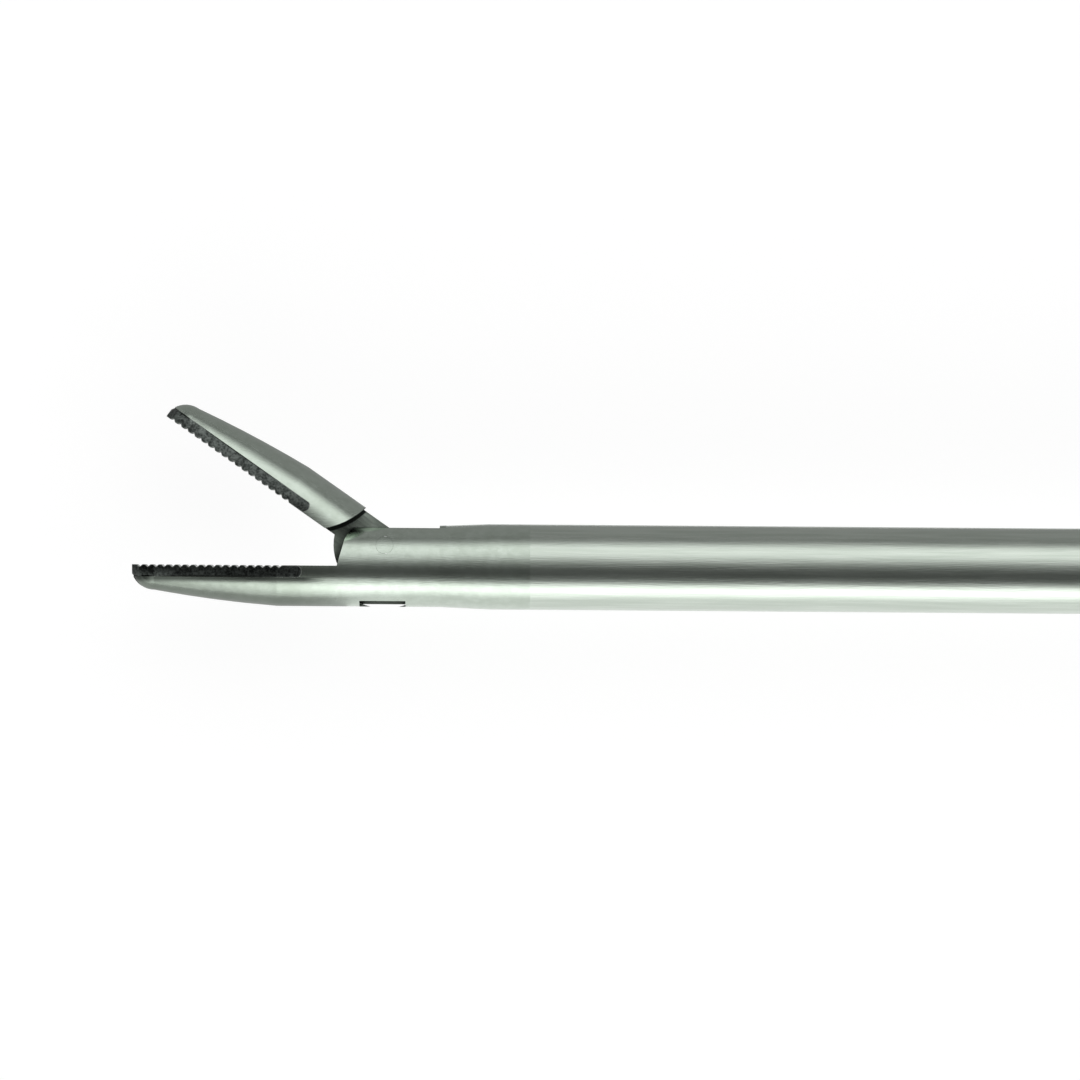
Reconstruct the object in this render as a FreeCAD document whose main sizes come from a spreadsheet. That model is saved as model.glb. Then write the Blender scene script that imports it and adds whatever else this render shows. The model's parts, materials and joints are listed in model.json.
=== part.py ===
"""Surgical needle holder: 5 mm shaft, single-action toothed jaws, in-line ratchet handle.

Millimetres and degrees. The instrument lies on its side: +X runs from the jaw
tip to the end of the handle, +Y is the side that the jaw opens to, +Z is up.
The origin is on the shaft's axis at the front face of the collar nut.
"""
import FreeCAD, Part
import math
import os
import types

import Sketcher

Vector = FreeCAD.Vector

SIZES = {
    # shaft
    "work_len": 310.0,        # jaw tip to collar nut
    "tube_d": 5.0,
    "tube_wall": 0.4,
    "rod_d": 3.0,
    "rod_fit": 0.05,          # radial clearance of the sliding rod
    "joint_fit": 0.02,        # radial clearance of brazed and screwed joints
    # jaws, from the jaw pivot
    "jaw_reach": 14.77,       # pivot to tip
    "pivot_rise": 1.23,       # pivot above the shaft's axis
    "jaw_open": 34.7,
    "barrel_d": 4.76,         # clevis and jaw root
    "nose_flat": 0.55,        # radius of the blunt tip
    "nose_len": 1.3,
    "nose_rad": 1.49,         # jaw radius behind the nose
    "nose_round": 1.37,
    "taper_len": 8.5,         # tip to full barrel
    "taper_round": 73.0,
    "bite_gap": 0.04,         # between the crests of the closed jaws
    # toothed inserts
    "insert_len": 9.75,
    "insert_thick": 0.7,
    "insert_round": 0.4,
    "insert_bevel": 0.42,
    "tooth_pitch": 0.48,
    "tooth_depth": 0.14,
    "tooth_flat": 0.06,
    # clevis
    "ear_root": 2.78,
    "ear_front": 2.42,
    "ear_height": 1.25,
    "ear_top": 1.5,
    "ear_round": 1.5,
    "slot_wide": 1.6,
    "slot_front": 3.3,
    "slot_rear": 3.2,
    "saw_rad": 3.7,           # slitting saw that opens the clevis slot
    "lip_front": 1.46,        # shortened lip of the upper ear, from the pivot
    "lip_rear": 1.23,
    "lip_y": 2.04,
    "flare_end": 6.1,
    "joint_back": 8.5,        # joint between tip body and tube
    "spigot_len": 6.0,
    "pivot_d": 1.0,
    "pivot_fit": 0.03,
    # moving jaw
    "shoulder_low": 3.42,
    "shoulder_top": 2.16,
    "shoulder_round": 4.63,
    "tang_wide": 1.5,
    "tang_rad": 3.0,
    "tang_top": 2.2,
    "fork_wide": 0.8,
    "fork_front": 1.6,
    # drive
    "pin_arm": 1.5,           # jaw pivot to drive pin
    "drive_pin_d": 0.8,
    "drive_fit": 0.02,
    "tongue_thick": 0.7,
    "tongue_top": 0.5,
    "tongue_low": 1.3,
    "tongue_nose": 0.45,      # metal in front of the cross slot
    "tongue_root": 3.7,
    # collar, ferrule and seal
    "collar_len": 12.0,
    "collar_d": 12.0,
    "collar_wall": 2.9,
    "collar_bevel": 0.8,
    "flute_rad": 1.2,
    "flute_count": 10,
    "flange_d": 8.8,
    "flange_len": 2.9,
    "tube_seat": 16.0,        # rear end of the tube
    "seat_step": 0.2,         # the tube's seat in the ferrule is turned down
    "ferrule_end": 20.0,
    "seal_seat": 1.4,
    "seal_wide": 1.28,
    "seal_lip": 0.3,
    # handle housing
    "handle_thick": 12.0,
    "housing_bore": 7.2,
    "sleeve_fit": 0.05,
    "boss_d": 9.1,
    "housing_front": 12.0,
    "housing_high": 7.0,
    "housing_low": 8.5,
    "housing_back": 50.0,
    "edge_bevel": 1.3,
    "spring_end": 50.0,
    "guide_len": 4.5,
    # lower arm
    "waist_x": 62.0,
    "waist_y": 4.5,
    "arm_over": 20.2,         # arm's end beyond the rack
    "arm_end_top": 10.0,
    "arm_end_low": 18.0,
    "arm_hollow": 470.0,      # sweep of the arm's upper edge
    "arm_belly": 700.0,       # sweep of its lower edge
    # lever
    "hinge_x": 32.0,
    "hinge_drop": 5.4,        # lever pivot below the shaft's axis
    "lever_thick": 11.0,
    "lever_low": 12.0,        # under side of the open lever above the shaft's axis
    "lever_crown": 23.5,      # its highest place over the knuckles
    "lever_crown_x": 70.0,
    "lever_dip_x": 41.0,      # from the arm's end to the dip for the fingers
    "lever_tip": 30.5,
    "lever_bow": 60.0,
    "lever_sag": 90.0,
    "web_thick": 7.0,
    "web_fit": 0.15,
    "hub_rad": 3.6,
    "foot_rad": 3.4,          # round foot between the spool's flanges
    "foot_fit": 0.05,
    "neck_slot": 3.0,
    "screw_d": 3.0,
    "screw_head_d": 5.2,
    "screw_head": 1.35,
    "stub_d": 2.2,
    "lever_bevel": 1.3,
    # spool and spring
    "spool_start": 20.6,
    "spool_rad": 3.3,
    "neck_d": 2.6,
    "spool_flange": 2.0,
    "spool_stub_d": 1.8,
    "spool_stub": 3.0,
    "tail_d": 2.4,
    "tail_end": 51.5,
    "tail_fit": 0.1,
    "coil_rad": 2.3,
    "coil_wire": 0.7,
    "coil_turns": 3.5,
    # ratchet, about the lever pivot
    "rack_rad": 100.8,
    "rack_wide": 3.8,
    "rack_thick": 3.0,
    "rack_fit": 0.1,
    "rack_low": -4.5,
    "rack_top": 7.6,
    "notch_angle": 5.2,       # notch that holds the closed lever
    "notch_step": 0.8,
    "notch_count": 3,
    "notch_depth": 1.0,
    "notch_run": 1.3,
    "foot_in": 4.5,           # front of the rack's foot inside the rack's radius
    "foot_wide": 5.0,
    "foot_low": 16.0,
    "rack_pin_d": 1.6,
    "rack_pin_gap": 2.4,
    "rack_pin_y": 13.0,
    "pawl_out": 3.6,          # pawl's pivot outside the rack's radius
    "pawl_y": 2.6,
    "pawl_swing": 24.0,
    "pawl_rad": 1.7,
    "pawl_thick": 3.0,
    "pawl_pin_d": 1.8,
    "pawl_fit": 0.08,
    "leaf_thick": 0.35,
    "leaf_wide": 2.4,
}


class Size:
    """A number together with the spreadsheet formula that gives it."""

    def __init__(self, value, text):
        self.value = value
        self.text = text

    def __add__(self, other):
        other = size(other)
        return Size(self.value + other.value, "(%s + %s)" % (self.text, other.text))

    def __sub__(self, other):
        other = size(other)
        return Size(self.value - other.value, "(%s - %s)" % (self.text, other.text))

    def __mul__(self, other):
        other = size(other)
        return Size(self.value * other.value, "(%s * %s)" % (self.text, other.text))

    def __truediv__(self, other):
        other = size(other)
        return Size(self.value / other.value, "(%s / %s)" % (self.text, other.text))

    def __radd__(self, other):
        return size(other) + self

    def __rsub__(self, other):
        return size(other) - self

    def __rmul__(self, other):
        return size(other) * self

    def __rtruediv__(self, other):
        return size(other) / self

    def __neg__(self):
        return Size(-self.value, "(-%s)" % self.text)


def size(number):
    """The number as a Size; a Size stays as it is."""
    return number if isinstance(number, Size) else Size(float(number), "(%.6f)" % number)


def sin(angle):
    return Size(math.sin(math.radians(angle.value)), "sin(%s)" % angle.text)


def cos(angle):
    return Size(math.cos(math.radians(angle.value)), "cos(%s)" % angle.text)


def asin(ratio):
    return Size(math.degrees(math.asin(ratio.value)), "(asin(%s) / 1deg)" % ratio.text)


def sqrt(number):
    return Size(math.sqrt(number.value), "sqrt(%s)" % number.text)


doc = FreeCAD.newDocument("NeedleHolder")
sheet = doc.addObject("Spreadsheet::Sheet", "Sizes")
for row, (alias, number) in enumerate(SIZES.items(), 1):
    sheet.set("A%d" % row, alias)
    sheet.set("B%d" % row, str(number))
    sheet.setAlias("B%d" % row, alias)
doc.recompute()
S = types.SimpleNamespace(
    **{alias: Size(float(number), "Sizes." + alias) for alias, number in SIZES.items()})

parts = []


# Construction helpers

def bind(thing, prop, amount):
    """Ties a property to the sheet."""
    thing.setExpression(prop, size(amount).text)


def part_body(label, x=0, y=0, turn=None):
    """A new body with its origin at x, y, turned about Z."""
    body = doc.addObject("PartDesign::Body", label)
    body.Label = label
    if turn is not None:
        way = -1 if turn.value < 0 else 1
        body.Placement = FreeCAD.Placement(
            Vector(), FreeCAD.Rotation(Vector(0, 0, way), abs(turn.value)))
        bind(body, "Placement.Rotation.Angle", turn * way)
    bind(body, "Placement.Base.x", x)
    bind(body, "Placement.Base.y", y)
    parts.append(body)
    return body


def circle(x, y, radius):
    """A loop for sketch()."""
    return [("circle", size(x), size(y), size(radius))]


def sketch(body, loops, plane="XY_Plane", shift=None, turn=None, lift=None):
    """Closed loops of corners (x, y) on one of the body's planes.

    A third value makes the side to the next corner an arc of that radius,
    which bulges to the left of its way, or to the right where it is negative.
    """
    base = [f for f in body.Origin.OriginFeatures if f.Role == plane][0]
    sk = body.newObject("Sketcher::SketchObject", "Sketch")
    sk.AttachmentSupport = [(base, "")]
    sk.MapMode = "FlatFace"
    if turn is not None:
        sk.AttachmentOffset = FreeCAD.Placement(
            Vector(), FreeCAD.Rotation(Vector(0, 0, 1), turn.value))
        bind(sk, "AttachmentOffset.Rotation.Angle", turn)
    if shift is not None:
        bind(sk, "AttachmentOffset.Base.x", shift[0])
        bind(sk, "AttachmentOffset.Base.y", shift[1])
    if lift is not None:
        bind(sk, "AttachmentOffset.Base.z", lift)

    def dimension(kind, *where_and_amount):
        amount = size(where_and_amount[-1])
        index = sk.addConstraint(
            Sketcher.Constraint(kind, *where_and_amount[:-1], amount.value))
        sk.setExpression("Constraints[%d]" % index, amount.text)

    def locate(geo, point, x, y):
        dimension("DistanceX", -1, 1, geo, point, x)
        dimension("DistanceY", -1, 1, geo, point, y)

    for loop in loops:
        if loop[0][0] == "circle":
            _, x, y, radius = loop[0]
            geo = sk.addGeometry(Part.Circle(
                Vector(x.value, y.value, 0), Vector(0, 0, 1), radius.value), False)
            dimension("Radius", geo, radius)
            locate(geo, 3, x, y)
            continue
        corners = [tuple(size(v) for v in corner) for corner in loop]
        ends = []
        for here, there in zip(corners, corners[1:] + corners[:1]):
            a = Vector(here[0].value, here[1].value, 0)
            b = Vector(there[0].value, there[1].value, 0)
            if len(here) == 2:
                ends.append((sk.addGeometry(Part.LineSegment(a, b), False), 1, 2))
                continue
            radius = here[2].value
            start, stop = (b, a) if radius > 0 else (a, b)
            half = (stop - start) / 2
            rise = math.sqrt(max(radius ** 2 - half.Length ** 2, 0))
            centre = start + half + Vector(-half.y, half.x, 0).normalize() * rise
            arc = Part.ArcOfCircle(
                Part.Circle(centre, Vector(0, 0, 1), abs(radius)),
                math.atan2(start.y - centre.y, start.x - centre.x),
                math.atan2(stop.y - centre.y, stop.x - centre.x))
            geo = sk.addGeometry(arc, False)
            dimension("Radius", geo, here[2] if radius > 0 else -here[2])
            ends.append((geo, 2, 1) if radius > 0 else (geo, 1, 2))
        for index, (geo, first, last) in enumerate(ends):
            after = ends[(index + 1) % len(ends)]
            sk.addConstraint(Sketcher.Constraint("Coincident", geo, last, after[0], after[1]))
            locate(geo, first, corners[index][0], corners[index][1])
    return sk


def feature(body, kind, sk):
    made = body.newObject("PartDesign::" + kind, kind)
    made.Profile = sk
    sk.Visibility = False
    return made


def check_cut(body, before):
    doc.recompute()
    if not body.Shape.Volume < before - 1e-6:
        raise RuntimeError("a cut in %s removes nothing" % body.Label)


def pad(body, loops, thick, **where):
    """Adds the loops, half the thickness to each side of their plane."""
    made = feature(body, "Pad", sketch(body, loops, **where))
    made.SideType = "Symmetric"
    bind(made, "Length", thick)
    doc.recompute()
    return made


def pocket(body, loops, thick=None, **where):
    """Cuts the loops, half the thickness to each side, or right through."""
    before = body.Shape.Volume
    made = feature(body, "Pocket", sketch(body, loops, **where))
    made.SideType = "Symmetric"
    if thick is None:
        made.Type = "ThroughAll"
    else:
        bind(made, "Length", thick)
    check_cut(body, before)
    return made


def turned(body, loop, kind="Revolution", **where):
    """Turns a half section round its sketch's X axis, as metal or as a cut."""
    before = body.Shape.Volume if kind == "Groove" else 0
    made = feature(body, kind, sketch(body, [loop], **where))
    made.ReferenceAxis = (made.Profile[0], ["H_Axis"])
    made.Angle = 360
    if kind == "Groove":
        check_cut(body, before)
    doc.recompute()
    return made


def dress(body, base, chosen, kind, prop, amount):
    """A Fillet or Chamfer on the edges of the last feature that chosen() picks."""
    names = ["Edge%d" % (i + 1) for i, edge in enumerate(base.Shape.Edges) if chosen(edge)]
    made = body.newObject("PartDesign::" + kind, kind)
    made.Base = (base, names)
    bind(made, prop, amount)
    doc.recompute()
    return made


def upright_at(*corners):
    """Picks the edges along Z at the given corners."""
    def chosen(edge):
        ends = [v.Point for v in edge.Vertexes]
        if len(ends) != 2 or math.hypot(ends[0].x - ends[1].x, ends[0].y - ends[1].y) > 1e-6:
            return False
        return any(math.hypot(ends[0].x - size(corner[0]).value,
                              ends[0].y - size(corner[1]).value) < 1e-3 for corner in corners)
    return chosen


def rim(thick):
    """Picks the edges that lie all along in the plate's two faces."""
    half = thick.value / 2

    def chosen(edge):
        box = edge.BoundBox
        return box.ZMax - box.ZMin < 1e-6 and abs(abs(box.ZMax) - half) < 1e-6
    return chosen


def plate(body, corners, thick, roundings, bevel):
    """A flat plate with bevelled rims; roundings are (radius, [corner numbers])."""
    last = pad(body, [corners], thick)
    for radius, numbers in roundings:
        last = dress(body, last, upright_at(*[corners[n] for n in numbers]),
                     "Fillet", "Radius", radius)
    return dress(body, last, rim(thick), "Chamfer", "Size", bevel)


def pin(label, x, y, diameter, low, high):
    """A plain pin along Z."""
    made = doc.addObject("Part::Cylinder", label)
    made.Label = label
    bind(made, "Radius", size(diameter) / 2)
    bind(made, "Height", size(high) - low)
    bind(made, "Placement.Base.x", x)
    bind(made, "Placement.Base.y", y)
    bind(made, "Placement.Base.z", low)
    parts.append(made)
    return made


# Shared places

pivot_x = S.jaw_reach - S.work_len
tube_r = S.tube_d / 2
tube_in = tube_r - S.tube_wall
rod_r = S.rod_d / 2
rod_bore = rod_r + S.rod_fit
barrel_r = S.barrel_d / 2
pivot_r = S.pivot_d / 2
tip = -S.jaw_reach
insert_end = tip + S.insert_len
seat_low = -S.insert_thick
bite = S.bite_gap
seat_high = bite + S.insert_thick
half_open = S.jaw_open / 2
pin_swing = S.pin_arm * sin(half_open)
pin_r = S.drive_pin_d / 2
hinge_y = -S.hinge_drop
half_sweep = asin(pin_swing / S.hinge_drop)
foot_x0 = S.hinge_x - pin_swing
foot_y0 = hinge_y + S.hinge_drop * cos(half_sweep)
face_front = foot_x0 - S.foot_rad - S.foot_fit
face_rear = foot_x0 + S.foot_rad + S.foot_fit
spool_end = face_rear + S.spool_flange
bore_r = S.housing_bore / 2
plate_z = S.handle_thick / 2
arm_end = S.hinge_x + S.rack_rad + S.arm_over
rack_foot = S.hinge_x + S.rack_rad - S.foot_in
pawl_from_hinge = S.rack_rad + S.pawl_out


def bullet(end):
    """The jaws' outer profile from the axis at the tip to the barrel at x = end."""
    return [(tip, 0), (tip, S.nose_flat, S.nose_round),
            (tip + S.nose_len, S.nose_rad, S.taper_round),
            (tip + S.taper_len, barrel_r), (end, barrel_r)]


# Tip body: fixed jaw and clevis

tip_body = part_body("tip_body", pivot_x)
spigot_r = tube_in - S.joint_fit
spigot_end = S.joint_back + S.spigot_len
turned(tip_body, bullet(S.slot_rear) + [
    (S.flare_end, tube_r), (S.joint_back, tube_r), (S.joint_back, spigot_r),
    (spigot_end, spigot_r), (spigot_end, 0)])
pocket(tip_body, [[
    (tip - 1, seat_low), (insert_end, seat_low, -S.insert_round), (insert_end, 0),
    (-S.ear_root, 0), (-S.ear_front, S.ear_height, S.ear_round),
    (-S.ear_top, barrel_r + 0.02), (-S.ear_top, barrel_r + 1), (tip - 1, barrel_r + 1)]])
slot_front_y = S.pivot_rise - sqrt(S.saw_rad * S.saw_rad - S.slot_front * S.slot_front)
slot_rear_y = S.pivot_rise - sqrt(S.saw_rad * S.saw_rad - S.slot_rear * S.slot_rear)
pocket(tip_body, [[
    (-S.slot_front, barrel_r + 1), (-S.slot_front, slot_front_y, -S.saw_rad),
    (S.slot_rear, slot_rear_y), (S.slot_rear, barrel_r + 1)]], S.slot_wide)
pocket(tip_body, [[
    (-S.lip_front, -S.lip_y), (S.lip_rear, -S.lip_y), (S.lip_rear, -barrel_r - 1),
    (-S.lip_front, -barrel_r - 1)]], S.barrel_d, lift=barrel_r)
turned(tip_body, [(S.slot_rear - 0.5, 0), (S.slot_rear - 0.5, rod_bore),
                  (spigot_end + 1, rod_bore), (spigot_end + 1, 0)], "Groove")
pocket(tip_body, [circle(0, S.pivot_rise, pivot_r + S.joint_fit / 2)])

pin_blank = doc.addObject("Part::Cylinder", "PinBlank")
bind(pin_blank, "Radius", pivot_r)
bind(pin_blank, "Height", S.barrel_d)
bind(pin_blank, "Placement.Base.x", pivot_x)
bind(pin_blank, "Placement.Base.y", S.pivot_rise)
bind(pin_blank, "Placement.Base.z", -barrel_r)
pin_ends = doc.addObject("Part::Cylinder", "PinEnds")
pin_ends.Placement = FreeCAD.Placement(Vector(), FreeCAD.Rotation(Vector(0, 1, 0), 90))
bind(pin_ends, "Radius", barrel_r)
bind(pin_ends, "Height", S.pivot_d * 2)
bind(pin_ends, "Placement.Base.x", pivot_x - S.pivot_d)
jaw_pivot_pin = doc.addObject("Part::MultiCommon", "jaw_pivot_pin")
jaw_pivot_pin.Label = "jaw_pivot_pin"
jaw_pivot_pin.Shapes = [pin_blank, pin_ends]
parts.append(jaw_pivot_pin)


# Moving jaw, drawn closed and placed open about its pivot

on_axis = {"shift": (0, -S.pivot_rise)}
pin_low = S.pivot_rise - S.pin_arm * cos(half_open)


def jaw_body(label):
    return part_body(label, pivot_x, S.pivot_rise, -S.jaw_open)


moving_jaw = jaw_body("moving_jaw")
turned(moving_jaw, bullet(-S.ear_top) + [(-S.ear_top, 0)], **on_axis)
pocket(moving_jaw, [[
    (tip - 1, -barrel_r - 1), (tip - 1, seat_high), (insert_end, seat_high, S.insert_round),
    (insert_end, bite), (-S.shoulder_low, bite, -S.shoulder_round),
    (-S.shoulder_top, barrel_r + 0.02), (-S.shoulder_top, barrel_r + 1),
    (0, barrel_r + 1), (0, -barrel_r - 1)]], **on_axis)
tang_x = sqrt(S.tang_rad * S.tang_rad
              - (S.tang_top - S.pivot_rise) * (S.tang_top - S.pivot_rise))
tang_front = sqrt(S.tang_rad * S.tang_rad
                  - (S.pivot_rise - bite) * (S.pivot_rise - bite))
pad(moving_jaw, [[
    (-S.shoulder_low - 0.2, bite), (-S.shoulder_low - 0.2, S.tang_top),
    (tang_x, S.tang_top, S.tang_rad), (0, S.pivot_rise - S.tang_rad, S.tang_rad),
    (-tang_front, bite)]], S.tang_wide, **on_axis)
relief = S.pivot_rise - S.tongue_top - S.rod_fit
reach_out = S.tang_rad * 2
pocket(moving_jaw, [[
    (-S.fork_front, -S.tang_rad), (-S.fork_front, S.pivot_rise - relief),
    (0, S.pivot_rise - relief, -relief),
    (relief * sin(S.jaw_open), S.pivot_rise - relief * cos(S.jaw_open)),
    (relief * sin(S.jaw_open) + reach_out * cos(S.jaw_open),
     S.pivot_rise - relief * cos(S.jaw_open) + reach_out * sin(S.jaw_open)),
    (reach_out, -S.tang_rad)]], S.fork_wide, **on_axis)
pocket(moving_jaw, [circle(0, 0, pivot_r + S.pivot_fit)])
pocket(moving_jaw, [circle(pin_swing, pin_low, pin_r)], **on_axis)

drive_pin = jaw_body("drive_pin")
pad(drive_pin, [circle(pin_swing, pin_low, pin_r - S.joint_fit / 2)],
    S.tang_wide - S.joint_fit, **on_axis)


# Toothed inserts

def toothed_insert(body, face, back, side, **where):
    """A strip from its toothed face to its back; side is the way its teeth point."""
    blank = [(tip, back), (insert_end, back, S.insert_round * -side), (insert_end, face),
             (tip, face)]
    pad(body, [blank], S.barrel_d + 1, **where)
    first = tip + S.tooth_pitch
    half = (S.tooth_pitch - S.tooth_flat) / 2
    over = side * 0.05
    notch = pocket(body, [[
        (first - half, face + over), (first, face - side * S.tooth_depth),
        (first + half, face + over)]], **where)
    count = int((S.insert_len.value - 1.5 * S.tooth_pitch.value) / S.tooth_pitch.value)
    row = body.newObject("PartDesign::LinearPattern", "Teeth")
    row.Originals = [notch]
    row.Direction = (notch.Profile[0], ["H_Axis"])
    row.Occurrences = count
    bind(row, "Length", S.tooth_pitch * (count - 1))
    body.Tip = row
    doc.recompute()
    turned(body, [
        (tip, S.nose_flat), (tip + S.insert_bevel, S.nose_rad * 0.78),
        (tip + S.nose_len, S.nose_rad), (tip + S.taper_len, barrel_r),
        (insert_end + 1, barrel_r), (insert_end + 1, S.barrel_d), (tip, S.barrel_d)],
        "Groove", **where)


fixed_jaw_insert = part_body("fixed_jaw_insert", pivot_x)
toothed_insert(fixed_jaw_insert, size(0), seat_low, 1)
moving_jaw_insert = jaw_body("moving_jaw_insert")
toothed_insert(moving_jaw_insert, bite, seat_high, -1, **on_axis)


# Shaft

outer_tube = part_body("outer_tube")
tube_front = pivot_x + S.joint_back
seat_r = tube_r - S.seat_step
turned(outer_tube, [(tube_front, tube_in), (tube_front, tube_r), (0, tube_r), (0, seat_r),
                    (S.tube_seat, seat_r), (S.tube_seat, tube_in)])

drive_rod = part_body("drive_rod", pivot_x)
rod_end = S.spool_start + S.spool_rad - pivot_x
turned(drive_rod, [(S.tongue_root, 0), (S.tongue_root, rod_r), (rod_end, rod_r), (rod_end, 0)])
cross = pin_r + S.drive_fit
pad(drive_rod, [[
    (-pin_swing - cross - S.tongue_nose, -S.tongue_low),
    (-pin_swing - cross - S.tongue_nose, S.tongue_top),
    (S.tongue_root + 0.5, S.tongue_top), (S.tongue_root + 0.5, -S.tongue_low)]],
    S.tongue_thick)
slot_low = S.pivot_rise - S.pin_arm - cross - S.drive_fit
slot_high = pin_low + cross + S.drive_fit
pocket(drive_rod, [[
    (-pin_swing - cross, slot_low), (-pin_swing - cross, slot_high),
    (-pin_swing + cross, slot_high), (-pin_swing + cross, slot_low)]])

shaft_ferrule = part_body("shaft_ferrule")
socket_r = seat_r + S.joint_fit
flange_end = S.collar_wall + S.joint_fit + S.flange_len
sleeve_r = bore_r - S.sleeve_fit
seal_r = rod_r + S.seal_wide + 3 * S.joint_fit
seal_face = S.ferrule_end - S.seal_seat
turned(shaft_ferrule, [
    (S.collar_wall + S.joint_fit, socket_r), (S.collar_wall + S.joint_fit, S.flange_d / 2),
    (flange_end, S.flange_d / 2), (flange_end, sleeve_r), (S.ferrule_end, sleeve_r),
    (S.ferrule_end, seal_r), (seal_face, seal_r), (seal_face, rod_bore),
    (S.tube_seat + S.joint_fit, rod_bore), (S.tube_seat + S.joint_fit, socket_r)])

rod_seal = part_body("rod_seal")
seal_in = rod_r + S.joint_fit
seal_out = seal_r - S.joint_fit
seal_front = seal_face + S.joint_fit
seal_back = seal_front + S.seal_wide
turned(rod_seal, [
    (seal_front, seal_in), (seal_front, seal_out), (seal_back - S.seal_lip, seal_out),
    (seal_back, seal_out - S.seal_lip), (seal_back, seal_in)])

collar_nut = part_body("collar_nut")
collar_r = S.collar_d / 2
turned(collar_nut, [
    (0, tube_r + S.rod_fit), (0, collar_r - S.collar_bevel), (S.collar_bevel, collar_r),
    (S.collar_len - S.collar_bevel, collar_r), (S.collar_len, collar_r - S.collar_bevel),
    (S.collar_len, S.boss_d / 2 + S.joint_fit), (S.collar_wall, S.boss_d / 2 + S.joint_fit),
    (S.collar_wall, tube_r + S.rod_fit)])
flute = pocket(collar_nut, [circle(collar_r + S.flute_rad * 0.5, 0, S.flute_rad)],
               S.collar_len - 4 * S.collar_bevel, plane="YZ_Plane", lift=S.collar_len / 2)
knurl = collar_nut.newObject("PartDesign::PolarPattern", "Knurl")
knurl.Originals = [flute]
knurl.Axis = ([f for f in collar_nut.Origin.OriginFeatures if f.Role == "X_Axis"][0], [""])
knurl.Angle = 360
bind(knurl, "Occurrences", S.flute_count)
collar_nut.Tip = knurl
doc.recompute()


# Handle body

handle_body = part_body("handle_body")
plate(handle_body, [
    (S.housing_front, S.housing_high), (S.housing_back, S.housing_high),
    (S.waist_x, -S.waist_y, -S.arm_hollow), (arm_end, -S.arm_end_top),
    (arm_end, -S.arm_end_low, S.arm_belly), (S.housing_front, -S.housing_low)],
    S.handle_thick,
    [(2, [0, 5]), (8, [1]), (18, [2]), (3.9, [3, 4])],
    S.edge_bevel)
turned(handle_body, [
    (flange_end + S.joint_fit, bore_r), (flange_end + S.joint_fit, S.boss_d / 2),
    (S.housing_front + 2, S.boss_d / 2), (S.housing_front + 2, bore_r)])
guide_end = S.spring_end + S.guide_len
tail_bore = S.tail_d / 2 + S.tail_fit
turned(handle_body, [
    (S.housing_front - 1, 0), (S.housing_front - 1, bore_r), (S.spring_end, bore_r),
    (S.spring_end, tail_bore), (guide_end, tail_bore), (guide_end, 0)], "Groove")
web_slot = S.web_thick + 2 * S.web_fit
pocket(handle_body, [[
    (S.hinge_x - 4.7, S.housing_high + 5), (S.hinge_x - 4.7, hinge_y - S.hub_rad - 1),
    (S.hinge_x + 6.5, hinge_y - S.hub_rad - 1), (S.hinge_x + 6.5, 0),
    (S.spring_end - 2, 3), (S.spring_end - 2, S.housing_high + 5)]], web_slot)
pocket(handle_body, [circle(S.hinge_x, hinge_y, S.screw_d / 2 + S.joint_fit)])
for way in (1, -1):
    pocket(handle_body, [circle(S.hinge_x, hinge_y, S.screw_head_d / 2 + 0.1)],
           2 * S.screw_head, lift=way * plate_z)
pocket(handle_body, [[
    (rack_foot - S.joint_fit, -S.arm_end_top + 5), (rack_foot - S.joint_fit, -S.foot_low),
    (rack_foot + S.foot_wide + S.joint_fit, -S.foot_low),
    (rack_foot + S.foot_wide + S.joint_fit, -S.arm_end_top + 5)]], S.rack_thick + S.rack_fit)
rack_pin_x = rack_foot + S.foot_wide / 2
pin_places = [("rack_pin_front", rack_pin_x - S.rack_pin_gap / 2),
              ("rack_pin_rear", rack_pin_x + S.rack_pin_gap / 2)]
pocket(handle_body, [circle(x, -S.rack_pin_y, S.rack_pin_d / 2 + S.joint_fit)
                     for _, x in pin_places])


# Spool, tail nut and return spring

rod_spool = part_body("rod_spool")
stub_end = face_rear + S.spool_stub
turned(rod_spool, [
    (S.spool_start, rod_r + S.joint_fit), (S.spool_start, S.spool_rad),
    (face_front, S.spool_rad), (face_front, S.neck_d / 2), (face_rear, S.neck_d / 2),
    (face_rear, S.spool_stub_d / 2), (stub_end, S.spool_stub_d / 2), (stub_end, 0),
    (S.spool_start + S.spool_rad + S.joint_fit, 0),
    (S.spool_start + S.spool_rad + S.joint_fit, rod_r + S.joint_fit)])
spool_nut = part_body("spool_nut")
stub_bore = S.spool_stub_d / 2 + S.joint_fit
turned(spool_nut, [
    (face_rear + S.joint_fit, stub_bore), (face_rear + S.joint_fit, S.spool_rad),
    (spool_end, S.spool_rad), (spool_end, S.tail_d / 2), (S.tail_end, S.tail_d / 2),
    (S.tail_end, 0), (stub_end + S.joint_fit, 0), (stub_end + S.joint_fit, stub_bore)])

return_spring = part_body("return_spring")
coil_r = S.coil_wire / 2
coil_start = spool_end + coil_r + S.joint_fit
coil = feature(return_spring, "AdditiveHelix", sketch(return_spring, [[
    (coil_start - coil_r, S.coil_rad - coil_r), (coil_start - coil_r, S.coil_rad + coil_r),
    (coil_start + coil_r, S.coil_rad + coil_r), (coil_start + coil_r, S.coil_rad - coil_r)]]))
coil.ReferenceAxis = (coil.Profile[0], ["H_Axis"])
coil.Mode = "height-turns-angle"
bind(coil, "Height", S.spring_end - coil_r - S.joint_fit - coil_start)
bind(coil, "Turns", S.coil_turns)
doc.recompute()


# Lever, at its open stop

catch = S.notch_angle + 2 * half_sweep
about_hinge = {"shift": (S.hinge_x, hinge_y), "turn": catch}

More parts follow.
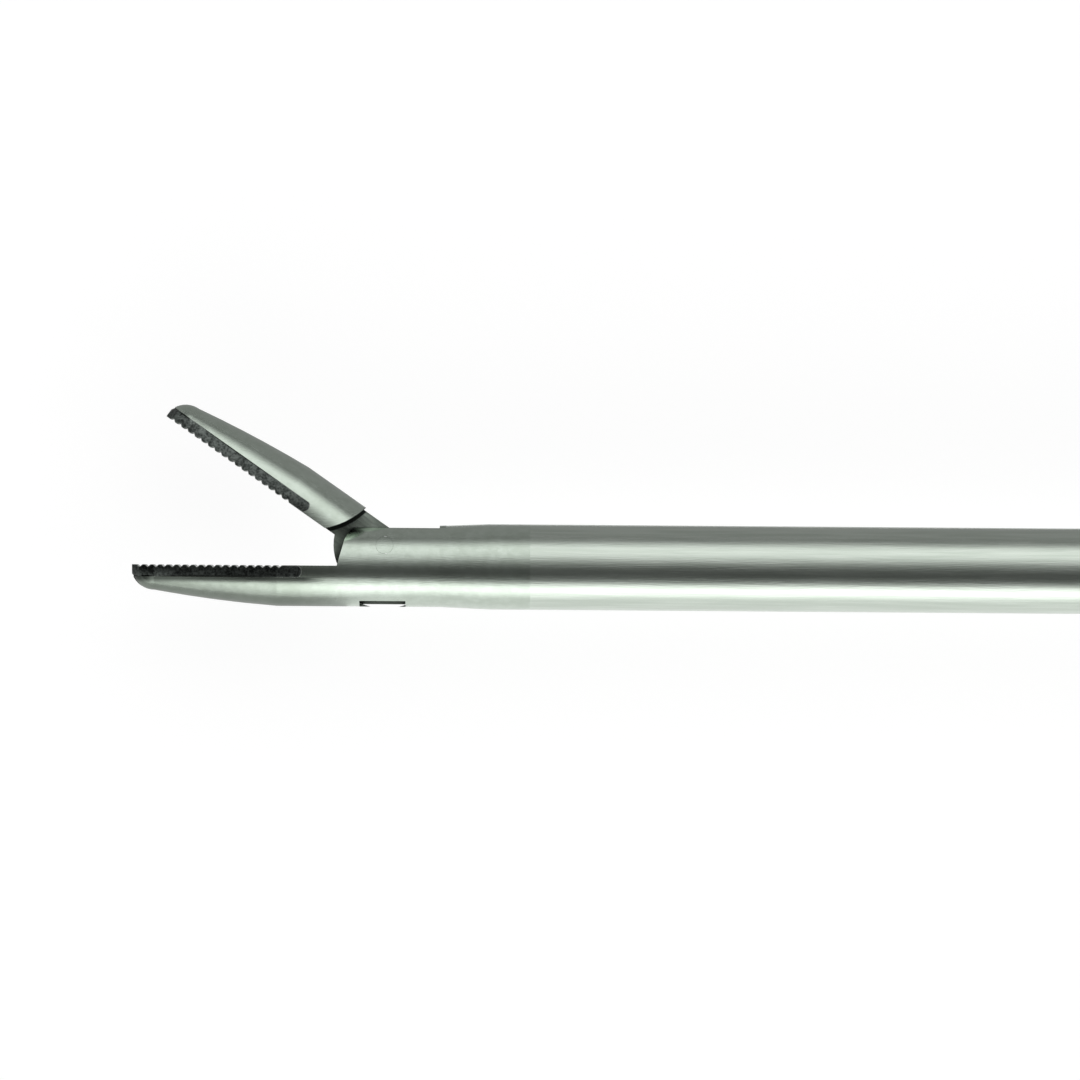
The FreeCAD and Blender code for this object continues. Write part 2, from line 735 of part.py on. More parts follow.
lever = part_body("lever")
plate(lever, [
    (S.hinge_x + 6, S.lever_low + 0.2), (S.hinge_x + 11, S.lever_low + 7),
    (S.lever_crown_x, S.lever_crown), (arm_end - S.lever_dip_x, S.lever_crown - 1),
    (arm_end - 1, S.lever_tip), (arm_end + 0.5, S.lever_tip - 10),
    (arm_end - S.lever_dip_x + 4, S.lever_crown - 10), (S.lever_crown_x, S.lever_crown - 7.5),
    (S.housing_back, S.lever_low)],
    S.lever_thick,
    [(3.5, [0, 1]), (S.lever_bow, [2, 7]), (S.lever_sag, [3, 6]), (4.2, [4, 5]),
     (S.lever_bow / 2, [8])],
    S.lever_bevel)
pad(lever, [circle(S.hinge_x, hinge_y, S.hub_rad)], S.web_thick)
pad(lever, [circle(foot_x0, foot_y0, S.foot_rad)], S.web_thick)
neck_x = S.foot_rad - 0.8
clear_y = S.spool_rad + 1.1
pad(lever, [[
    (S.hinge_x - neck_x, hinge_y), (S.hinge_x - neck_x, S.spool_rad),
    (S.hinge_x - 4.5, clear_y), (S.hinge_x - 4.5, 8), (S.hinge_x + 8, 17.5),
    (S.hinge_x + 17, 15.0), (S.hinge_x + 12, 8.5), (S.hinge_x + 3.3, clear_y + 0.5),
    (S.hinge_x + 1.9, S.spool_rad + 0.5), (S.hinge_x + 1.9, hinge_y)]], S.web_thick)
pocket(lever, [circle(S.hinge_x, hinge_y, S.screw_d / 2 + S.rod_fit)])
pocket(lever, [[
    (S.hinge_x - 6, -S.neck_d / 2 - 0.8), (S.hinge_x - 6, S.neck_d / 2 + 0.9),
    (S.hinge_x + 6, S.neck_d / 2 + 0.9), (S.hinge_x + 6, -S.neck_d / 2 - 0.8)]], S.neck_slot)
pocket_w = S.pawl_thick + 0.5
pocket(lever, [[
    (S.rack_rad - S.rack_wide - 0.7, -9), (S.rack_rad - S.rack_wide - 0.7, 4.9),
    (pawl_from_hinge - 3.2, 4.9), (pawl_from_hinge - 3.2, 12), (pawl_from_hinge + 3.6, 12),
    (pawl_from_hinge + 3.6, 4.9), (pawl_from_hinge + 4.1, 4.9), (pawl_from_hinge + 4.1, -9)]],
    pocket_w, **about_hinge)
pocket(lever, [circle(pawl_from_hinge, S.pawl_y, S.pawl_pin_d / 2 + S.joint_fit)], **about_hinge)

pivot_screw = part_body("lever_pivot_screw")
head_under = plate_z - S.screw_head
head_high = S.screw_head - S.joint_fit
head_mid = head_under + head_high / 2
pad(pivot_screw, [circle(S.hinge_x, hinge_y, S.screw_d / 2)], 2 * head_under)
pad(pivot_screw, [circle(S.hinge_x, hinge_y, S.screw_head_d / 2)], head_high, lift=head_mid)
pad(pivot_screw, [circle(S.hinge_x, hinge_y, S.stub_d / 2)], head_high, lift=-head_mid)
pocket(pivot_screw, [[
    (S.hinge_x - 4, hinge_y - 0.4), (S.hinge_x - 4, hinge_y + 0.4),
    (S.hinge_x + 4, hinge_y + 0.4), (S.hinge_x + 4, hinge_y - 0.4)]], 1.2, lift=plate_z)
pivot_nut = part_body("lever_pivot_nut")
pad(pivot_nut, [circle(S.hinge_x, hinge_y, S.screw_head_d / 2),
                circle(S.hinge_x, hinge_y, S.stub_d / 2 + S.joint_fit)],
    head_high, lift=-head_mid)


# Ratchet

ratchet_rack = part_body("ratchet_rack", S.hinge_x, hinge_y)
rack_in = S.rack_rad - S.rack_wide
low, top = S.rack_low, S.rack_top
pad(ratchet_rack, [[
    (rack_in * cos(low), rack_in * sin(low)),
    (S.rack_rad * cos(low), S.rack_rad * sin(low), -S.rack_rad),
    (S.rack_rad * cos(top), S.rack_rad * sin(top)),
    (rack_in * cos(top), rack_in * sin(top), rack_in)]], S.rack_thick)
foot_left = rack_foot - S.hinge_x
foot_base = S.hinge_drop - S.foot_low + S.joint_fit
pad(ratchet_rack, [[
    (foot_left, foot_base), (foot_left, S.hinge_drop - S.arm_end_top),
    (foot_left + S.foot_wide, S.hinge_drop - S.arm_end_top),
    (foot_left + S.foot_wide, foot_base)]], S.rack_thick)
notch = pocket(ratchet_rack, [[
    (S.rack_rad - S.notch_depth, 0), (S.rack_rad + 0.5, 0),
    (S.rack_rad + 0.5, -S.notch_run * 1.5)]], turn=S.notch_angle)
teeth = ratchet_rack.newObject("PartDesign::PolarPattern", "Notches")
teeth.Originals = [notch]
teeth.Axis = ([f for f in ratchet_rack.Origin.OriginFeatures if f.Role == "Z_Axis"][0], [""])
bind(teeth, "Angle", S.notch_step * (S.notch_count - 1))
bind(teeth, "Occurrences", S.notch_count)
ratchet_rack.Tip = teeth
doc.recompute()
pocket(ratchet_rack, [circle(x - S.hinge_x, S.hinge_drop - S.rack_pin_y,
                             S.rack_pin_d / 2 + S.joint_fit) for _, x in pin_places])
for label, x in pin_places:
    pin(label, x, -S.rack_pin_y, S.rack_pin_d, -plate_z + 0.02, plate_z - 0.02)

pawl_px = S.hinge_x + pawl_from_hinge * cos(catch) - S.pawl_y * sin(catch)
pawl_py = hinge_y + pawl_from_hinge * sin(catch) + S.pawl_y * cos(catch)
ratchet_pawl = part_body("ratchet_pawl", pawl_px, pawl_py, catch + S.pawl_swing)
nose_x = S.rack_rad - S.notch_depth + S.pawl_fit * 2.2 - pawl_from_hinge
nose_y = -S.pawl_y - S.pawl_fit
pad(ratchet_pawl, [circle(0, 0, S.pawl_rad)], S.pawl_thick)
pad(ratchet_pawl, [[
    (nose_x, nose_y), (nose_x + 1.6, nose_y), (-1.4, -0.9), (0.2, S.pawl_rad - 0.1),
    (1.5, -0.8), (nose_x + 1.5, nose_y - 1.85), (nose_x, nose_y - 0.04)]], S.pawl_thick)
pad(ratchet_pawl, [[
    (-0.9, 0.5), (0.1, 6.6), (-0.4, 7.8), (2.4, 7.8), (2.0, 6.6), (1.1, 0.5)]], S.pawl_thick)
pocket(ratchet_pawl, [circle(0, 0, S.pawl_pin_d / 2 + S.rod_fit)])
pin("pawl_pin", pawl_px, pawl_py, S.pawl_pin_d,
    -S.lever_thick / 2 + 0.02, S.lever_thick / 2 - 0.02)

pawl_spring = part_body("pawl_spring", pawl_px, pawl_py, catch)
wall = 4.1 - S.joint_fit
pad(pawl_spring, [[
    (wall, -5.5), (wall, -1.6), (2.05, 0.7), (1.8, 0.4), (wall - S.leaf_thick, -1.8),
    (wall - S.leaf_thick, -5.5)]], S.leaf_wide)


# Checks and export

doc.recompute()
for thing in doc.Objects:
    if "Invalid" in thing.State or "Error" in thing.State:
        raise RuntimeError("%s failed: %s" % (thing.Label, thing.State))
os.makedirs("parts", exist_ok=True)
for piece in parts:
    shape = piece.Shape
    if shape.isNull() or not shape.isValid() or len(shape.Solids) != 1:
        raise RuntimeError("%s is not one valid solid" % piece.Label)
for piece in parts:
    piece.Shape.exportStep("parts/%s.step" % piece.Label)
    print("%-20s %9.2f mm3" % (piece.Label, piece.Shape.Volume))
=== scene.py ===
"""Looks of the needle holder: steel finishes, a white studio sweep, and the
photograph's close view of its jaws."""

import json
import math

import bpy
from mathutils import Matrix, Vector


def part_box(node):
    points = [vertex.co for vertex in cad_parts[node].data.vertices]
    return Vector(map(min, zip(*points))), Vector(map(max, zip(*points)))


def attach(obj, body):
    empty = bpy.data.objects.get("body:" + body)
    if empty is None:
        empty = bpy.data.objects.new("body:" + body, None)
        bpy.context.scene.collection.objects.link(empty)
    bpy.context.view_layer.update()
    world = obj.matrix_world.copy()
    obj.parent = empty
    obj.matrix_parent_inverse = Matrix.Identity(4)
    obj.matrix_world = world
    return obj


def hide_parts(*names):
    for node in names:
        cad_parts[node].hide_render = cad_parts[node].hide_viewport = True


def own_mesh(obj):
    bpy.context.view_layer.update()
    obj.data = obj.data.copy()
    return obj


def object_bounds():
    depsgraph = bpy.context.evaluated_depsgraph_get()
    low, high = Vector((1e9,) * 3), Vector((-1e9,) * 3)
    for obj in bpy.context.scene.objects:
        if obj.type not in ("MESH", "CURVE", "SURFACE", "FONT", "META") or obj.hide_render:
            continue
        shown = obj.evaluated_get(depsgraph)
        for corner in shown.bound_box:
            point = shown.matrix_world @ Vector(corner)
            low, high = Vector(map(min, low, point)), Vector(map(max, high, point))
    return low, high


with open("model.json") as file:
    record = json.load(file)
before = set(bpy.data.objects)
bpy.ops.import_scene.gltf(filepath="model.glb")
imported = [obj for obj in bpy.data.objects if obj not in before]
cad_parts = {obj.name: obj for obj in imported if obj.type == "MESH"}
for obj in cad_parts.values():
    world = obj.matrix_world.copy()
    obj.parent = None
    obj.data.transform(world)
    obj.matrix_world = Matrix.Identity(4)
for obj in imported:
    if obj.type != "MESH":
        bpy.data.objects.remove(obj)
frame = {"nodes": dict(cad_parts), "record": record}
CAD_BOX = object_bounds()

MM = 0.001
VIEW_WIDE = 63.16 * MM          # what the picture's width takes in at the shaft
VIEW_PAST_TIP = 23.77 * MM      # middle of the picture behind the jaw's tip
VIEW_OFF_AXIS = 1.59 * MM       # and beside the shaft's axis, to the opening side
VIEW_TURN = 0.43                # degrees that the shaft lies off level
VIEW_HEIGHT = 0.6               # of the camera above the shaft's axis
SENSOR = 36.0


# Shader building

class Wire:
    """A socket that can be calculated with: each operator adds its Math node."""

    def __init__(self, tree, socket):
        self.tree, self.socket = tree, socket

    def _math(self, operation, *values):
        return add(self.tree, "ShaderNodeMath", {"operation": operation},
                   dict(enumerate(values)))

    def __add__(self, other):
        return self._math("ADD", self, other)

    def __sub__(self, other):
        return self._math("SUBTRACT", self, other)

    def __mul__(self, other):
        return self._math("MULTIPLY", self, other)

    def __truediv__(self, other):
        return self._math("DIVIDE", self, other)

    def __pow__(self, other):
        return self._math("POWER", self, other)

    def __neg__(self):
        return self * -1

    __radd__ = __add__

    def __rsub__(self, other):
        return self._math("SUBTRACT", other, self)

    def root(self):
        return self._math("SQRT", self)

    def clamp(self):
        return add(self.tree, "ShaderNodeClamp", {}, {0: self})

    def between(self, low, high):
        """0 below low and 1 above high, smooth from one to the other."""
        return add(self.tree, "ShaderNodeMapRange", {"interpolation_type": "SMOOTHSTEP"},
                   {"Value": self, "From Min": low, "From Max": high})

    def up_to(self, limit, blur):
        """1 up to limit and 0 from there on by blur."""
        return 1 - self.between(limit, limit + blur)


def empty_tree(owner):
    """The node tree of a new material or world, without its first nodes."""
    owner.use_nodes = True
    owner.node_tree.nodes.clear()
    return owner.node_tree


def add(tree, kind, settings=None, sockets=None, output=0):
    """A node of that type with its settings, then its sockets' values or links."""
    node = tree.nodes.new(kind)
    for name, value in (settings or {}).items():
        if name == "stops":
            ramp = node.color_ramp
            while len(ramp.elements) < len(value):
                ramp.elements.new(0.5)
            for element, (share, colour) in zip(ramp.elements, value):
                element.position, element.color = share, (*colour, 1)
        else:
            setattr(node, name, value)
    for name, value in (sockets or {}).items():
        if isinstance(value, Wire):
            tree.links.new(value.socket, node.inputs[name])
        elif isinstance(value, tuple) and node.inputs[name].type == "RGBA":
            node.inputs[name].default_value = (*value, 1)
        else:
            node.inputs[name].default_value = value
    return Wire(tree, node.outputs[output]) if node.outputs else node


MIX_FACTOR, MIX_FIRST, MIX_SECOND = 0, 6, 7     # a Mix node's sockets for colours
MIX_RESULT = 2


def mix_colour(tree, factor, first, second, blend="MIX"):
    """The first colour where factor is 0 and the second where it is 1."""
    return add(tree, "ShaderNodeMix", {"data_type": "RGBA", "blend_type": blend},
               {MIX_FACTOR: factor, MIX_FIRST: first, MIX_SECOND: second}, output=MIX_RESULT)


def place(tree, stretch=(1, 1, 1), turn=0):
    """Where a point lies in the object, in metres turned about Z and times stretch."""
    where = add(tree, "ShaderNodeTexCoord", output="Object")
    if turn:
        where = add(tree, "ShaderNodeVectorRotate", {"rotation_type": "Z_AXIS"},
                    {"Vector": where, "Angle": math.radians(-turn)})
    return add(tree, "ShaderNodeMapping", {}, {"Vector": where, "Scale": stretch})


def parts_of(tree, vector):
    """A vector's three numbers, each to calculate with."""
    split = add(tree, "ShaderNodeSeparateXYZ", {}, {"Vector": vector}).socket.node
    return [Wire(tree, output) for output in split.outputs]


def away(x, y, centre):
    """How far a point lies from an axis along Z through centre."""
    return ((x - centre[0]) ** 2.0 + (y - centre[1]) ** 2.0).root()


def noise(tree, where, scale, detail=2.0, roughness=0.5):
    """Cloudy values from 0 to 1, scale of them to a metre."""
    return add(tree, "ShaderNodeTexNoise", {},
               {"Vector": where, "Scale": scale, "Detail": detail, "Roughness": roughness})


def bump(tree, height, depth):
    """Normals of a relief of that depth."""
    return add(tree, "ShaderNodeBump", {}, {"Height": height, "Distance": depth})


CORNER_RAYS = 8                 # of each search for corners and edges
EDGE_SHARE = (0.55, 0.95)       # of those rays that stay in the metal, on an edge and off it


def open_face(tree, reach):
    """1 on open faces, down to 0 in corners and under edges closer than reach."""
    return add(tree, "ShaderNodeAmbientOcclusion", {"samples": CORNER_RAYS},
               {"Distance": reach}, output="AO")


def sharp_edge(tree, reach):
    """0 along outer edges, up to 1 on metal further from them than reach."""
    inner = add(tree, "ShaderNodeAmbientOcclusion", {"samples": CORNER_RAYS, "inside": True},
                {"Distance": reach}, output="AO")
    return inner.between(*EDGE_SHARE)


def surface_of(name, build):
    """A new material whose surface is the shader that build(tree) returns."""
    made = bpy.data.materials.new(name)
    tree = empty_tree(made)
    add(tree, "ShaderNodeOutputMaterial", {}, {"Surface": build(tree)})
    return made


def finish(name, build):
    """A new material; build(tree) returns the Principled shader's sockets."""
    return surface_of(name, lambda tree: add(tree, "ShaderNodeBsdfPrincipled", {}, build(tree)))


# Finishes

STEEL = (0.48, 0.545, 0.475)
BLUR = 0.02 * MM                            # softness of a mask's sharp border

JAW_OPEN = 34.7                             # degrees, at rest
SHOULDER_CENTRE = (-6.73 * MM, 3.236 * MM)  # from the pivot's foot on the axis, jaws closed
SHOULDER_RADIUS = 4.63 * MM
SHOULDER_SHADOW_WIDTH = 0.18 * MM                   # width of the painted black shadow line along the shoulder
ROOT_REACH = 3.7 * MM                       # of the tang's flats, from the pivot
ROOT_SIDE = 0.78 * MM                       # of the tang's flats, from the middle plane

SEAM_WIDTH = 0.1 * MM                       # of the brazed border below the insert
SEAM_FADE = 0.32 * MM
SEAM_END = 1.5 * MM                         # where it ends, behind the insert

JAW_SHADE = (0.7, 0.71, 0.69)                # how much darker the fixed jaw is painted, as painted shade
JAW_SHADE_FRONT = 1.2 * MM                   # where that starts to end, ahead of the insert's rear
JAW_SHADE_FADE = 4.4 * MM


def shoulder_centre(pivot):
    """Centre of the moving jaw's curved shoulder, with the jaw at rest."""
    ahead, beside = SHOULDER_CENTRE[0], SHOULDER_CENTRE[1] - pivot.y
    cosine, sine = math.cos(math.radians(JAW_OPEN)), math.sin(math.radians(JAW_OPEN))
    return pivot.x + ahead * cosine + beside * sine, pivot.y - ahead * sine + beside * cosine


def jaw_root(tree):
    """Masks of the moving jaw's ground root and of the painted shadow line in the corner at its
    shoulder.
    """
    low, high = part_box("jaw_pivot_pin")
    pivot = (low + high) / 2
    x, y, z = parts_of(tree, place(tree))
    from_pivot = away(x, y, pivot)
    from_centre = away(x, y, shoulder_centre(pivot))
    flat = (from_pivot.up_to(ROOT_REACH, 5 * BLUR) * (z * z).root().up_to(ROOT_SIDE, 2 * BLUR)
            * from_centre.between(SHOULDER_RADIUS - BLUR, SHOULDER_RADIUS))
    return flat, flat * from_centre.up_to(SHOULDER_RADIUS + SHOULDER_SHADOW_WIDTH, 4 * BLUR)


def insert_seam(tree):
    """1 along the brazed lower border of the fixed jaw's insert."""
    low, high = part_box("fixed_jaw_insert")
    x, y, _ = parts_of(tree, place(tree))
    depth = low.y - y
    return (x.up_to(high.x, SEAM_END) * depth.between(-BLUR, 0.0)
            * depth.up_to(SEAM_WIDTH, SEAM_FADE))


def fixed_jaw(tree):
    """1 on the fixed jaw, down to 0 where it runs into the clevis; where it is 1, the jaw's
    colour is painted darker as shade.
    """
    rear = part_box("fixed_jaw_insert")[1].x
    x, y, _ = parts_of(tree, place(tree))
    return x.up_to(rear - JAW_SHADE_FRONT, JAW_SHADE_FADE) * y.up_to(-10 * BLUR, 20 * BLUR)


def polished_steel(tree):
    """Jaws: bright steel with fine polishing lines and soft clouds; ground flats that are duller
    and partly painted darker as shade; painted shade in corners and along the shoulder; the fixed
    jaw painted darker as shade.
    """
    lines = noise(tree, place(tree, (1, 14, 14)), 1400, 3)
    cloud = noise(tree, place(tree), 260, 2)
    mottle = noise(tree, place(tree), 1700, 3, 0.6)
    uneven = (cloud * 0.4 + mottle * 0.6).between(0.34, 0.66)
    flat, shoulder = jaw_root(tree)
    ground = noise(tree, place(tree, (1, 5, 1), -JAW_OPEN), 900, 2).between(0.35, 0.65)
    bright = mix_colour(tree, uneven, STEEL, (0.55, 0.62, 0.55))
    # painted shade: the fixed jaw's colour darkened where its taper reflects less light
    bright = mix_colour(tree, fixed_jaw(tree), bright, JAW_SHADE, "MULTIPLY")
    # the tang's ground flats: darker with ground streaks, and partly as painted shade
    bright = mix_colour(tree, flat * ground, bright, (0.36, 0.41, 0.36))
    # painted shade: near black in corners and under close edges, with a painted shadow line along
    # the moving jaw's shoulder, and the dark brazed border below the fixed jaw's insert
    corner = (open_face(tree, 1.1 * MM).between(0.42, 0.74) * (1 - shoulder)
              * (1 - insert_seam(tree) * 0.85))
    return {"Base Color": mix_colour(tree, corner, (0.03, 0.034, 0.03), bright),
            "Metallic": 1.0,
            "Roughness": 0.16 + cloud * 0.06 + lines * 0.05 + flat * 0.28,
            "Normal": bump(tree, lines, 0.004 * MM)}


def satin_steel(tree):
    """Tube: drawn steel, brushed along its length."""
    brushed = noise(tree, place(tree, (1, 22, 22)), 900, 4)
    streak = noise(tree, place(tree, (1, 20, 20)), 210, 3)
    cloud = noise(tree, place(tree), 120, 2)
    uneven = (cloud * 0.3 + streak * 0.7).between(0.34, 0.66)
    return {"Base Color": mix_colour(tree, uneven, (0.525, 0.587, 0.52), (0.605, 0.667, 0.6)),
            "Metallic": 1.0,
            "Roughness": 0.16 + cloud * 0.05 + brushed * 0.05 + streak * 0.03,
            "Normal": bump(tree, brushed, 0.005 * MM)}


def handle_steel(tree):
    """Handle: blasted steel with a fine lengthwise grain, worn smooth in patches along its edges,
    where its colour is also painted brighter as a highlight.
    """
    grain = noise(tree, place(tree), 5200, 3, 0.6)
    drawn = noise(tree, place(tree, (1, 9, 9)), 520, 4)
    cloud = noise(tree, place(tree), 75, 3)
    patch = noise(tree, place(tree), 210, 3)
    # edges in patches: worn smooth, and their colour painted brighter as a highlight
    edge_wear_and_highlight = (1 - sharp_edge(tree, 0.9 * MM)) * patch.between(0.25, 0.6)
    uneven = (cloud * 0.5 + drawn * 0.5).between(0.36, 0.64)
    blasted = mix_colour(tree, uneven, (0.35, 0.368, 0.352), (0.46, 0.482, 0.462))
    return {"Base Color": mix_colour(tree, edge_wear_and_highlight * 0.85, blasted, (0.66, 0.71, 0.66)),
            "Metallic": 1.0,
            "Roughness": 0.36 + drawn * 0.14 + grain * 0.05 - edge_wear_and_highlight * 0.2,
            "Normal": bump(tree, drawn + grain * 0.5, 0.03 * MM)}


def carbide(tree):
    """Inserts: dark ground hard metal, with painted highlights along the tips of its teeth."""
    grain = noise(tree, place(tree), 9000, 3)
    patch = noise(tree, place(tree), 3600, 2)
    # painted highlight: the tips of the teeth drawn lighter, where they catch the light
    crest_highlight = 1 - sharp_edge(tree, 0.07 * MM)
    uneven = (grain * 0.5 + patch * 0.5).between(0.36, 0.64)
    dark = mix_colour(tree, uneven, (0.034, 0.039, 0.036), (0.15, 0.168, 0.157))
    return {"Base Color": mix_colour(tree, crest_highlight, dark, (0.4, 0.43, 0.4)),
            "Metallic": 1.0,
            "Roughness": 0.26 + grain * 0.12 + crest_highlight * 0.2,
            "Normal": bump(tree, grain, 0.006 * MM)}


def ratchet_steel(tree):
    """Rack, pawl, screws and pins: machined and left bright."""
    milled = noise(tree, place(tree, (1, 1, 9)), 1800, 2)
    return {"Base Color": mix_colour(tree, milled, (0.38, 0.408, 0.382), (0.47, 0.5, 0.472)),
            "Metallic": 1.0,
            "Roughness": 0.2 + milled * 0.1,
            "Normal": bump(tree, milled, 0.006 * MM)}


def spring_steel(tree):
    """Springs: drawn wire with a faint oxide skin."""
    skin = noise(tree, place(tree), 1500, 2)
    return {"Base Color": mix_colour(tree, skin, (0.33, 0.34, 0.31), (0.46, 0.49, 0.45)),
            "Metallic": 1.0, "Roughness": 0.24 + skin * 0.12}


def seal_rubber(tree):
    """Seal: matt moulded elastomer."""
    grain = noise(tree, place(tree), 3800, 2)
    return {"Base Color": mix_colour(tree, grain, (0.02, 0.022, 0.024), (0.035, 0.037, 0.04)),
            "Roughness": 0.6 + grain * 0.15, "Normal": bump(tree, grain, 0.01 * MM)}


FINISHES = {name: finish(name, build) for name, build in {
    "polished_steel": polished_steel, "carbide": carbide, "satin_steel": satin_steel,
    "handle_steel": handle_steel, "ratchet_steel": ratchet_steel,
    "spring_steel": spring_steel, "seal_rubber": seal_rubber}.items()}

for piece in frame["nodes"].values():
    for slot in piece.material_slots:
        slot.material = FINISHES[slot.material.name]


# Return spring

SPRING_WIRE = 0.7 * MM
SPRING_TURNS = 3.5
STEPS_PER_TURN = 48
WIRE_SIDES = 12


def coil_mesh(name, first, last, coil, radius):
    """Round wire wound about the X axis from first to last, closed flat at both ends."""
    steps = round(SPRING_TURNS * STEPS_PER_TURN)
    slope = (last - first) / (2 * math.pi * SPRING_TURNS)
    vertices = []
    for step in range(steps + 1):
        turn = 2 * math.pi * SPRING_TURNS * step / steps
        outward = Vector((0, math.cos(turn), math.sin(turn)))
        tangent = Vector((slope, -coil * math.sin(turn), coil * math.cos(turn))).normalized()
        across = tangent.cross(outward)
        centre = Vector((first + slope * turn, 0, 0)) + outward * coil
        for side in range(WIRE_SIDES):
            angle = 2 * math.pi * side / WIRE_SIDES
            rim = outward * math.cos(angle) + across * math.sin(angle)
            vertices.append(centre + rim * radius)
    faces = [tuple(range(WIRE_SIDES)),
             tuple(steps * WIRE_SIDES + side for side in reversed(range(WIRE_SIDES)))]
    for step in range(steps):
        near, far = step * WIRE_SIDES, (step + 1) * WIRE_SIDES
        for side in range(WIRE_SIDES):
            following = (side + 1) % WIRE_SIDES
            faces.append((near + following, near + side, far + side, far + following))
    mesh = bpy.data.meshes.new(name)
    mesh.from_pydata(vertices, [], faces)
    mesh.polygons.foreach_set("use_smooth", [len(face) == 4 for face in faces])
    return mesh


def build_spring():
    """The return spring as a coil of round wire."""
    low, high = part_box("return_spring")
    radius = SPRING_WIRE / 2
    mesh = coil_mesh("coil_spring", low.x + radius, high.x - radius, high.y - radius, radius)
    mesh.materials.append(FINISHES["spring_steel"])
    spring = bpy.data.objects.new("coil_spring", mesh)
    bpy.context.scene.collection.objects.link(spring)
    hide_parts("return_spring")
    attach(spring, "frame")
    slide = next(joint for joint in frame["record"]["behaviour"]["joints"]
                 if joint["name"] == "rod_slide")
    travel = slide["range_m"][1]
    1 - travel / (high.x - low.x)
    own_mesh(spring)


build_spring()


# Studio

SWEEP_HALF = 12.0
SWEEP_GLOW = 1.2                # brightness of the sweep's own light
SWEEP_GLOW_SHARE = 0.72         # of what the camera sees of it; the rest is lit paper
FLAG_LIFT = 1 * MM              # of the grey cards above the sweep


def seen_directly(tree):
    """1 for what the camera, a reflection or a glass shows, 0 for light that falls."""
    camera, glossy, transmission = (add(tree, "ShaderNodeLightPath", output=f"Is {kind} Ray")
                                    for kind in ("Camera", "Glossy", "Transmission"))
    return (camera + glossy + transmission).clamp()


def stage_piece(name, corners, faces, build):
    """A piece of the studio with the surface that build(tree) returns."""
    mesh = bpy.data.meshes.new(name)
    mesh.from_pydata(corners, [], faces)
    mesh.materials.append(surface_of(name, build))
    piece = bpy.data.objects.new(name, mesh)
    bpy.context.scene.collection.objects.link(piece)
    return piece


def level_sheet(name, x, y, height, build):
    """A flat sheet from x[0] to x[1] and from y[0] to y[1]."""
    corners = [(x[0], y[0], height), (x[1], y[0], height), (x[1], y[1], height),
               (x[0], y[1], height)]
    return stage_piece(name, corners, [(0, 1, 2, 3)], build)


def glow(tree, colour, strength=1.0):
    """Light of that colour that comes from the surface itself."""
    return add(tree, "ShaderNodeEmission", {}, {"Color": colour, "Strength": strength})


def grey(level):
    return (level, level, level)


def white_sweep(tree):
    """Paper that looks white and still takes a faint shadow."""
    paper = add(tree, "ShaderNodeBsdfDiffuse", {}, {"Color": grey(0.9)})
    return add(tree, "ShaderNodeMixShader", {},
               {0: seen_directly(tree) * SWEEP_GLOW_SHARE, 1: paper,
                2: glow(tree, grey(1), SWEEP_GLOW)})


def build_flag(name, x, y, level):
    """A grey card just above the sweep that only reflections show."""
    flag = level_sheet(name, x, y, CAD_BOX[0].z + FLAG_LIFT, lambda tree: glow(tree, grey(level)))
    flag.visible_camera = flag.visible_diffuse = flag.visible_shadow = False


def angle_stop(degrees):
    """Place on the studio's ramp of a direction that leans so far from up towards +Y."""
    return (math.sin(math.radians(degrees)) + 1) / 2


# brightness of the studio by direction, in degrees from straight up towards +Y
PANELS = [(-90, 1.35), (-72, 2.12), (-58, 2.12), (-43, 0.55), (-33, 0.13), (-18, 0.07),
          (-2, 0.11), (14, 0.4), (32, 1.12), (48, 1.3), (58, 1.2), (76, 0.36), (88, 0.2)]
TENT_HALF = 12.5
# what is left of that brightness by how far a direction points to -X, past the jaws' tip
FAR_END = [(0.14, 1), (0.26, 0.7), (0.4, 0.42), (0.62, 0.2), (0.85, 0.05)]
NO_LENGTH = 1e-6                # keeps the lean's divisor above nothing


def tent_cloth(tree):
    """Brightness by the direction in which a place on the tent's walls lies."""
    where = add(tree, "ShaderNodeNewGeometry", output="Position")
    way = add(tree, "ShaderNodeVectorMath", {"operation": "NORMALIZE"}, {0: where})
    along, side, up = parts_of(tree, way)
    lean = side / (side * side + up * up + NO_LENGTH).root()
    panels = add(tree, "ShaderNodeValToRGB", {"stops": [
        (angle_stop(degrees), grey(level)) for degrees, level in PANELS]},
        {"Fac": (lean + 1) * 0.5})
    ahead = add(tree, "ShaderNodeValToRGB", {"stops": [
        (share, grey(level)) for share, level in FAR_END]}, {"Fac": -along})
    return glow(tree, mix_colour(tree, 1.0, panels, ahead, "MULTIPLY"))


def build_tent():
    """Walls of light around the sweep: long panels each side and a dark gap overhead."""
    ends = (-TENT_HALF, TENT_HALF)
    corners = [(x, y, z) for x in ends for y in ends for z in ends]
    walls = [(0, 1, 3, 2), (4, 6, 7, 5), (0, 4, 5, 1), (2, 3, 7, 6), (0, 2, 6, 4), (1, 5, 7, 3)]
    stage_piece("light_tent", corners, walls, tent_cloth).visible_camera = False


